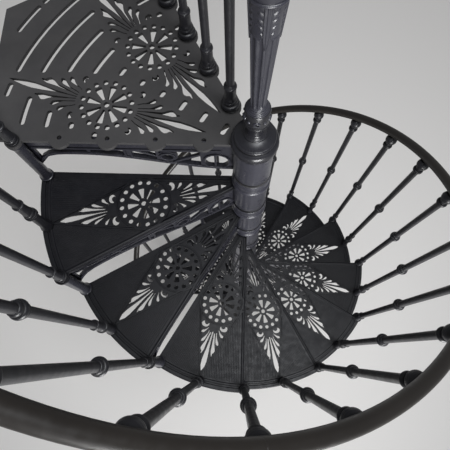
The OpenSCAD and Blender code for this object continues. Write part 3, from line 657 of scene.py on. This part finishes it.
def fluted(height, azimuth):
    """Radius of the shaft with its round flutes."""
    pitch = 2 * pi / FLUTES
    radius = shaft_radius(height)
    x = ((azimuth + pitch / 2) % pitch - pitch / 2) * radius
    half = FLUTE_SHARE * pitch * radius
    below = 1 - between(FLUTE_HIGH - FLUTE_END, FLUTE_HIGH, height)
    ends = between(FLUTE_LOW, FLUTE_LOW + FLUTE_END, height) * below
    return radius - FLUTE_DEPTH * ends * math.sqrt(max(0, 1 - (x / half) ** 2))


def leafed(height, azimuth):
    """Radius of the bell with its leaves: a tongue with three ridges between lobed sides, over a sunk ground."""
    pitch = 2 * pi / LEAVES
    radius = bell_radius(height)
    x = abs((azimuth - LEAF_TURN + pitch / 2) % pitch - pitch / 2) * radius
    t = (BELL_HIGH - height) / (BELL_HIGH - BELL_LOW)
    lobe = abs(sin(pi * LEAF_LOBES * t / LOBES_END)) if t < LOBES_END else 0
    tongue = TONGUE_HALF * max(0, 1 - t ** 3) ** 0.5
    body = LEAF_HALF * math.sqrt(max(0, 1 - (t / LOBES_END) ** 2)) * (0.78 + 0.22 * lobe)
    if x < tongue:
        u = x / tongue
        return radius - TONGUE_SINK + RIDGE * hump(u, 0.8, 0.18) + RIDGE * hump(u, 0, 0.2)
    if x < body:
        u = (x - tongue) / (body - tongue)
        curl = abs(sin(pi * LEAF_LOBES * (t + 0.10 * u) / LOBES_END))
        return radius + LEAF_GROUND + CURL * curl * (0.3 + 0.7 * u) * (1 - u ** 6)
    if height < FLUTE_HIGH:
        return fluted(height, azimuth)
    return radius + LEAF_GROUND


def newel_shaft():
    bm = bmesh.new()
    rings = []
    for height, radius in newel_outline():
        points = []
        for i in range(NEWEL_SIDES):
            a = 2 * pi * i / NEWEL_SIDES
            r = radius
            if BELL_LOW <= height <= BELL_HIGH:
                r = leafed(height, a)
            elif FLUTE_LOW < height < BELL_LOW:
                r = fluted(height, a)
            points.append((r * cos(a), r * sin(a), LANDING_TOP + height))
        rings.append(ring_of(bm, points))
    skin(bm, rings)
    return bm


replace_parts(piece("newel_shaft_fluted", newel_shaft(), "newel_iron", 50), "newel_shaft")


# Floor, light and camera

FLOOR_HALF = 14.0
FLOOR_COLOUR = (0.90, 0.88, 0.85, 1)
WORLD_COLOUR = (0.92, 0.93, 0.96, 1)
WORLD_STRENGTH = 0.27
# The camera as solved from the photo
FOCAL_LENGTH = 37.58
CAMERA_PLACE = (0.0356, 0.4756, LANDING_TOP + 0.9828)
CAMERA_TURN = [radians(a) for a in (16.177, 0.985, -178.263)]


def floor():
    bm = bmesh.new()
    quad = [bm.verts.new((x * FLOOR_HALF, y * FLOOR_HALF, 0)) for x, y in ((-1, -1), (1, -1), (1, 1), (-1, 1))]
    bm.faces.new(quad)
    mesh = bpy.data.meshes.new("floor")
    bm.to_mesh(mesh)
    bm.free()
    obj = bpy.data.objects.new("floor", mesh)
    bpy.context.scene.collection.objects.link(obj)
    m = bpy.data.materials.new("floor_pale")
    m.use_nodes = True
    t = m.node_tree
    shader = t.nodes["Principled BSDF"]
    shader.inputs["Base Color"].default_value = FLOOR_COLOUR
    shader.inputs["Roughness"].default_value = 0.8
    obj.data.materials.append(m)


floor()

world = bpy.data.worlds.new("studio")
bpy.context.scene.world = world
world.use_nodes = True
world.node_tree.nodes["Background"].inputs["Color"].default_value = WORLD_COLOUR
world.node_tree.nodes["Background"].inputs["Strength"].default_value = WORLD_STRENGTH


def lamp(name, location, target, size, power, colour=(1, 1, 1), spread=pi):
    data = bpy.data.lights.new(name, "AREA")
    data.shape = "SQUARE"
    data.size = size
    data.energy = power
    data.color = colour
    data.spread = spread
    obj = bpy.data.objects.new(name, data)
    bpy.context.scene.collection.objects.link(obj)
    obj.location = location
    obj.rotation_euler = (Vector(target) - Vector(location)).to_track_quat("-Z", "Y").to_euler()


lamp("low_front", (-0.8, 3.6, 1.6), (0.0, 0.0, 2.4), size=1.6, power=72, spread=radians(100))
lamp("window", (-1.2, 3.0, 3.2), (0.0, 0.0, 2.4), size=1.2, power=12, colour=(0.93, 0.96, 1.0))
lamp("overhead", (-0.6, 0.7, 6.2), (0.0, 0.0, 1.5), size=1.6, power=140, colour=(0.95, 0.97, 1.0))

camera_data = bpy.data.cameras.new("camera")
camera_data.sensor_width = 36
camera_data.lens = FOCAL_LENGTH
camera_data.clip_start = 0.02
camera = bpy.data.objects.new("camera", camera_data)
bpy.context.scene.collection.objects.link(camera)
camera.location = CAMERA_PLACE
camera.rotation_euler = Euler(CAMERA_TURN, "XYZ")
bpy.context.scene.camera = camera
bpy.context.scene.view_settings.view_transform = "Standard"
